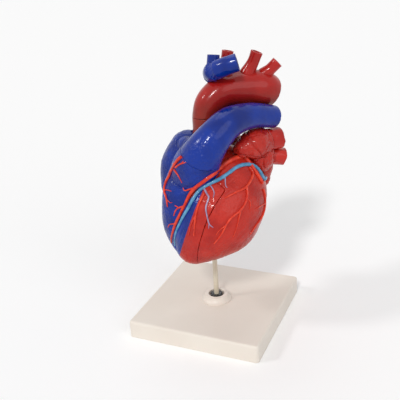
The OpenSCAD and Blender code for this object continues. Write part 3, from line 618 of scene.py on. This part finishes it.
# Inside of the ventricles: the papillary muscles on the walls, the cords that tie them to the two
# inlet valves, and the thin cusps of all four valves.
ivory = Finish("ivory_plastic", Roughness=0.4, Coat_Weight=0.2)
clouds = ivory.band(ivory.speckle(120, 3), 0.3, 0.7)
ivory.set(Base_Color=ivory.mix(clouds, (0.74, 0.66, 0.52), (0.86, 0.8, 0.68)),
          Roughness=0.34 + ivory.speckle(300, 2) * 0.14,
          Normal=ivory.bump(ivory.speckle(700, 2), 0.0001, 0.4))
for node in ("left_papillary_muscles", "right_papillary_muscles"):
    piece = cast(node, voxel=0.7, soften=4)
    settle(piece, "heart_core", "red", red_cast, node)
for node in ("mitral_valve", "tricuspid_valve", "aortic_valve", "pulmonary_valve"):
    piece = cast(node, voxel=0.55, soften=3)
    settle(piece, "heart_core", "ivory", ivory, node)
for node in ("left_tendinous_cords", "right_tendinous_cords"):
    coat(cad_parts[node], ivory)

# Socket and magnets: the steel tube in the heart's floor that takes the rod, and the small round
# magnets set flush in the seams.
socket_steel = Finish("socket_steel", Metallic=1.0)
socket_steel.set(Base_Color=socket_steel.mix(socket_steel.speckle(300, 2),
                                             (0.42, 0.42, 0.43), (0.58, 0.57, 0.56)),
                 Roughness=0.28 + socket_steel.speckle(600, 2) * 0.2)
coat(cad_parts["rod_socket"], socket_steel)
nickel = Finish("magnet_nickel", Metallic=1.0)
nickel.set(Base_Color=nickel.mix(nickel.speckle(400, 2), (0.55, 0.54, 0.5), (0.7, 0.69, 0.66)),
           Roughness=0.2 + nickel.speckle(900, 2) * 0.2)
for node in ("seam_magnets", "front_wall_magnets", "right_atrium_magnets", "left_atrium_magnets"):
    coat(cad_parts[node], nickel)

# Coronary arteries: orange-red vessels, thick at their start and tapering as they run down over
# the ventricles. Those on the front wall come off with it.
FRONT_PLANES = [((50, -22, 80), (-0.31, 0.95, 0)), ((50, -34, 70), (0.89, 0.33, -0.32)),
                ((26, -29, 133), (0.5, 0.05, 0.86))]
SEAM, SKIN_REACH = 0.15, 0.007
EASINGS, WAVER, RAISED_SHARE, SMOOTH_BELOW = 3, 0.1, 0.42, 50


def front_zone(gap):
    """A helper solid: all that lies before the seams, up to a gap in millimetres from them."""
    bpy.ops.mesh.primitive_cube_add(size=0.5, location=spot((20, -20, 80)))
    zone = bpy.context.view_layer.objects.active
    bpy.ops.object.transform_apply(location=True, rotation=True, scale=True)
    bpy.ops.object.mode_set(mode="EDIT")
    for place, normal in FRONT_PLANES:
        normal = Vector(normal).normalized()
        bpy.ops.mesh.select_all(action="SELECT")
        bpy.ops.mesh.bisect(plane_co=spot(Vector(place) - normal * gap),
                            plane_no=HEART.to_3x3() @ normal, use_fill=True, clear_outer=True)
    bpy.ops.object.mode_set(mode="OBJECT")
    return zone


heart_skin = skin((left_ventricle, right_ventricle, front_left, front_right))


def vessel(name, body, slot, finish, radius, routes, inside=None, nodes=()):
    """Half-sunk vessels along routes of x, y, z and share of the radius, laid on the ventricles.
    They are trimmed to the inside or the outside of the front wall's zone, or left whole."""
    tubes = []
    for route in routes:
        rows, places = flow(route, 7), []
        for row in rows:
            hit = heart_skin.find_nearest(spot(row), SKIN_REACH)[0]
            places.append(hit or spot(row))
        for turn in range(EASINGS):
            eased = [(a + 2 * b + c) / 4 for a, b, c in zip(places, places[1:], places[2:])]
            places = [places[0], *eased, places[-1]]
        laid = []
        for place, row in zip(places, rows):
            size = row[3] * radius * (1 + WAVER * noise.noise(place * 260))
            away = (place - spot(MIDDLE)).normalized()
            raised = place + away * (0.2 + RAISED_SHARE * size) * MM
            laid.append((*(HEART.inverted() @ raised / MM), size))
        tubes.append(tube(laid, domed=(True, True), sides=6))
    pick(*tubes)
    if len(tubes) > 1:
        bpy.ops.object.join()
    piece = bpy.context.view_layer.objects.active
    piece.name = name + "_line"
    if inside is not None:
        zone = front_zone(SEAM if inside else -SEAM)
        trim = piece.modifiers.new("trim", "BOOLEAN")
        trim.operation = "INTERSECT" if inside else "DIFFERENCE"
        trim.solver, trim.object, trim.use_self = "EXACT", zone, True
        pick(piece)
        bpy.ops.object.modifier_apply(modifier=trim.name)
        bpy.data.objects.remove(zone)
    bpy.ops.object.shade_smooth_by_angle(angle=math.radians(SMOOTH_BELOW))
    settle(piece, body, slot, finish, *nodes)


def enamel(name, colours, sheen):
    """The paint of a thin vessel, a little uneven in tone and in gloss."""
    paint = painted(name)
    paint.set(Base_Color=brushed(paint, colours, 150),
              Roughness=sheen + paint.speckle(200, 2) * 0.12,
              Normal=paint.bump(paint.speckle(500, 2), 0.0002, 0.4))
    return paint


scarlet = enamel("scarlet_vessel", ((0.60, 0.028, 0.012), (0.76, 0.06, 0.025)), 0.28)
DESCENDING = [
    [(38, -11, 118, 1.3), (44, -31, 114, 1.2), (37, -42, 105, 1.1), (28, -49, 93, 1),
     (25, -56, 80, 0.9), (20, -62, 66, 0.8), (13, -66, 49, 0.65), (-4, -60, 23, 0.4)],
    [(33, -45, 101, 0.6), (27, -49, 98, 0.45), (22, -53, 96, 0.35), (20, -53, 99, 0.25)],
    [(25, -56, 79, 0.55), (20, -61, 77, 0.45), (17, -64, 73, 0.35), (15, -65, 67, 0.25)],
    [(20, -61, 77, 0.4), (16, -63, 79, 0.25)],
    [(16, -65, 57, 0.4), (9, -67, 55, 0.3), (5, -67, 50, 0.22)]]
DIAGONAL = [
    [(41, -40, 94, 1), (42, -46, 88, 0.9), (42, -51, 80, 0.85), (43, -56, 66, 0.75),
     (42, -58, 49, 0.5)],
    [(42, -55, 71, 0.6), (38, -59, 60, 0.45), (36, -61, 48, 0.3)]]
RIGHT_CORONARY = [
    [(27, -49, 142, 1.2), (22, -53, 137, 1.2), (15, -55, 130, 1.2), (8, -56, 122, 1.1),
     (-1, -56, 112, 1.1), (-6, -59, 101, 1), (-6, -62, 91, 0.9), (2, -65, 85, 0.8),
     (6, -67, 76, 0.5)],
    [(14, -57, 123, 0.8), (22, -56, 129, 0.6), (29, -52, 131, 0.45), (33, -50, 129, 0.3)],
    [(23, -55, 129, 0.4), (26, -53, 133, 0.25)],
    [(11, -57, 119, 0.8), (18, -57, 115, 0.55), (21, -55, 106, 0.3)],
    [(-4, -62, 92, 0.5), (3, -63, 94, 0.4), (8, -62, 94, 0.25)],
    [(3, -65, 83, 0.4), (9, -65, 81, 0.3), (12, -65, 82, 0.2)],
    [(9, -55, 125, 0.5), (2, -54, 124, 0.3)]]
LEFT_CORONARY = [
    [(34, 26, 124, 1), (39, 20, 122, 1.2), (40, 5, 123, 1.3), (38, -11, 118, 1.3),
     (44, -31, 114, 1.2)],
    [(39, 20, 122, 1), (53, 26, 106, 0.9), (58, 30, 92, 0.8)]]
MARGINAL = [
    [(50, 20, 111, 1.2), (55, 20, 105, 1.2), (62, 4, 96, 1.1), (62, -10, 94, 1),
     (59, -25, 90, 0.7)],
    [(62, 4, 96, 1.1), (68, -1, 85, 1), (71, -12, 76, 1), (69, -28, 68, 0.9), (66, -38, 52, 0.8),
     (59, -43, 40, 0.5)],
    [(71, -13, 76, 0.9), (73, -19, 64, 0.7), (71, -25, 47, 0.35)],
    [(68, -33, 62, 0.6), (65, -39, 58, 0.45), (62, -42, 52, 0.3)],
    [(68, -1, 85, 0.7), (70, 2, 79, 0.5), (71, -1, 73, 0.3)],
    [(61, 32, 67, 0.7), (69, 17, 70, 0.5), (71, 9, 70, 0.3)],
    [(60, 30, 84, 1), (61, 32, 67, 0.9), (66, 24, 56, 0.9), (71, 8, 50, 0.8), (72, -1, 42, 0.5)]]
BACK_DESCENDING = [
    [(-32, -8, 68, 1), (-32, 8, 66, 1.1), (-28, 23, 70, 1.1), (-17, 42, 75, 1.1),
     (-11, 48, 66, 1), (-11, 42, 52, 0.9), (-8, 33, 37, 0.8), (-2, 18, 18, 0.5)]]
for node, body, radius, routes, inside in (
        ("anterior_descending_artery", "front_wall", 2.1, DESCENDING, True),
        ("diagonal_artery", "front_wall", 1.3, DIAGONAL, True),
        ("right_coronary_artery", "front_wall", 1.5, RIGHT_CORONARY, True),
        ("left_coronary_artery", "heart_core", 2.3, LEFT_CORONARY, False),
        ("left_marginal_arteries", "heart_core", 1.3, MARGINAL, False),
        ("posterior_descending_artery", "heart_core", 1.5, BACK_DESCENDING, None)):
    vessel(node, body, "scarlet", scarlet, radius, routes, inside, (node,))

# Cardiac veins: pale blue vessels beside the arteries, gathered at the back in the coronary sinus.
# The great vein runs over the front wall's seam, so it is cut there into a stem and a front part.
STEM = [[(52, 38, 93, 0.9), (52, 37, 97, 1), (48, 34, 105, 1), (47, 24, 113, 1.1),
         (47, 6, 116, 1.1), (47, -8, 112, 1.1), (45, -20, 107, 1.1), (41, -29, 104, 1.1),
         (35, -39, 98, 1.1), (33, -48, 89, 1), (31, -56, 77, 0.9), (24, -61, 63, 0.8),
         (16, -64, 48, 0.7), (0, -58, 20, 0.45)]]
SINUS = [
    [(52, 40, 92, 1), (34, 53, 85, 1.4), (12, 57, 76, 1.8), (-6, 52, 72, 1.9),
     (-24, 36, 72, 1.9), (-36, 22, 78, 1.8)],
    [(12, 57, 76, 1.2), (6, 54, 60, 1), (8, 46, 44, 0.8), (9, 40, 35, 0.5)]]
sky = enamel("sky_blue_vessel", ((0.06, 0.24, 0.42), (0.13, 0.36, 0.58)), 0.3)
for node, body, radius, routes, inside in (
        ("cardiac_vein_stem", "heart_core", 2.0, STEM, False),
        ("great_cardiac_vein", "front_wall", 2.0, STEM, True),
        ("coronary_sinus", "heart_core", 2.1, SINUS, None)):
    vessel(node, body, "sky", sky, radius, routes, inside, (node,))

# Side veins: thin grey violet twigs of the great vein on the left ventricle, moulded and painted
# like it. The frame has no solid for them, and they too are cut at the front wall's seam.
SIDE_VEIN_R = 1.1
SIDE_VEINS = [
    [(37, -37, 99, 1), (44, -38, 94, 1), (48, -39, 91, 0.9), (50, -45, 82, 0.85),
     (54, -47, 73, 0.7), (57, -47, 65, 0.6), (60, -44, 61, 0.3)],
    [(57, -47, 65, 0.5), (57, -48, 60, 0.3)],
    [(40, -31, 103, 0.8), (48, -31, 96, 0.6), (51, -35, 91, 0.3)],
    [(46, -13, 110, 0.7), (52, -18, 102, 0.5), (55, -18, 99, 0.3)]]
lilac = painted("grey_violet_vessel")
clouds = lilac.band(lilac.speckle(150, 3), 0.3, 0.7)
lilac.set(Base_Color=lilac.mix(clouds, (0.28, 0.2, 0.34), (0.42, 0.36, 0.52)),
          Roughness=0.3 + lilac.speckle(200, 2) * 0.12,
          Normal=lilac.bump(lilac.speckle(500, 2), 0.0002, 0.4))
vessel("side_veins_front", "front_wall", "sky", lilac, SIDE_VEIN_R, SIDE_VEINS, True)
vessel("side_veins_core", "heart_core", "sky", lilac, SIDE_VEIN_R, SIDE_VEINS, False)

# Studio: a white floor that only shows the model's shadow, and four far soft lamps. The sky lights
# the model evenly at SKY, and is white where it is seen straight, in a gloss or through a gap.
SKY, FLOOR_SIZE, BELOW = 0.42, 60, 0.0002
bpy.ops.mesh.primitive_grid_add(x_subdivisions=8, y_subdivisions=8, size=FLOOR_SIZE)
floor = bpy.context.view_layer.objects.active
floor.name = "studio_floor"
floor.location.z = -BELOW
coat(floor, Finish("studio_paper", Roughness=1.0, Base_Color=(1, 1, 1, 1), Specular_IOR_Level=0))
world = bpy.data.worlds.new("studio")
world.use_nodes = True
scene.world = world
tree = world.node_tree
rays = tree.nodes.new("ShaderNodeLightPath")
seen = (Wire(tree, rays.outputs["Is Camera Ray"]) + Wire(tree, rays.outputs["Is Glossy Ray"])
        + Wire(tree, rays.outputs["Is Transmission Ray"]))
background = tree.nodes["Background"]
background.inputs["Color"].default_value = (1, 1, 1, 1)
plug(tree, background.inputs["Strength"], seen * (1 - SKY) + SKY)


def lamp(name, side, height, spread, power):
    """A far soft lamp: its direction in degrees round and above the model, and its spread."""
    light = bpy.data.lights.new(name, "SUN")
    light.energy, light.angle = power, math.radians(spread)
    holder = bpy.data.objects.new(name, light)
    scene.collection.objects.link(holder)
    turn, lift = math.radians(side), math.radians(height)
    toward = Vector((math.cos(turn) * math.cos(lift), math.sin(turn) * math.cos(lift),
                     math.sin(lift)))
    holder.rotation_euler = toward.to_track_quat("Z", "Y").to_euler()


lamp("key", -86, 41, 8, 1.1)
lamp("side", -146, 40, 9, 0.55)
lamp("fill", -30, 32, 40, 0.45)
lamp("top", 120, 68, 40, 0.4)
